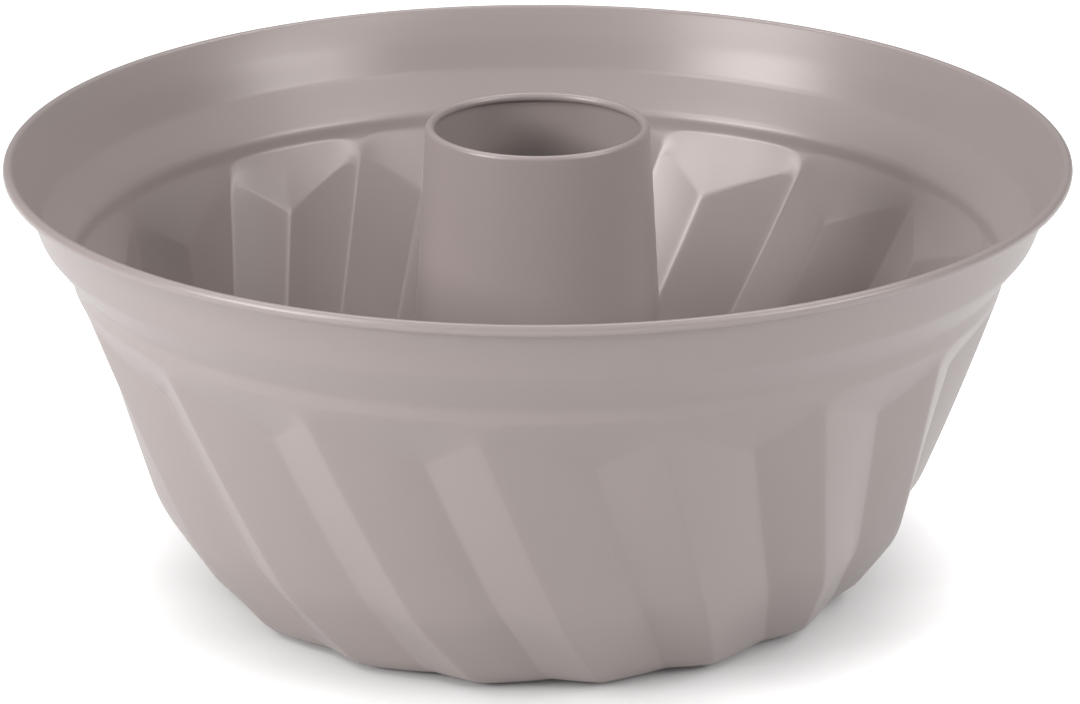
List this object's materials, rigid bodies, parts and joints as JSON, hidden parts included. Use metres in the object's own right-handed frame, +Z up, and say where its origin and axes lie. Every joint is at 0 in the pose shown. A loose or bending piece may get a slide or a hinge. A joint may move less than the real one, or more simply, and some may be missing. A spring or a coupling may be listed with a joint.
{
  "type": "fluted tube pan",
  "caption": "Round fluted ring-cake pan of coated sheet steel with spiral flutes, a rolled rim and an open centre tube seamed into its bottom.",
  "frame": {"origin": "middle of the bottom, on the plane that the pan stands on", "axes": "+Z up along the tube, -Y towards the side that the picture shows, +X to its right"},
  "size_m": [0.24, 0.24, 0.1072],
  "materials": {
    "shell_coating": "satin non-stick coating on steel",
    "tube_coating": "satin non-stick coating on steel"
  },
  "bodies": {
    "root": {"fluted_shell": "shell_coating", "centre_tube": "tube_coating"}
  },
  "joints": []
}
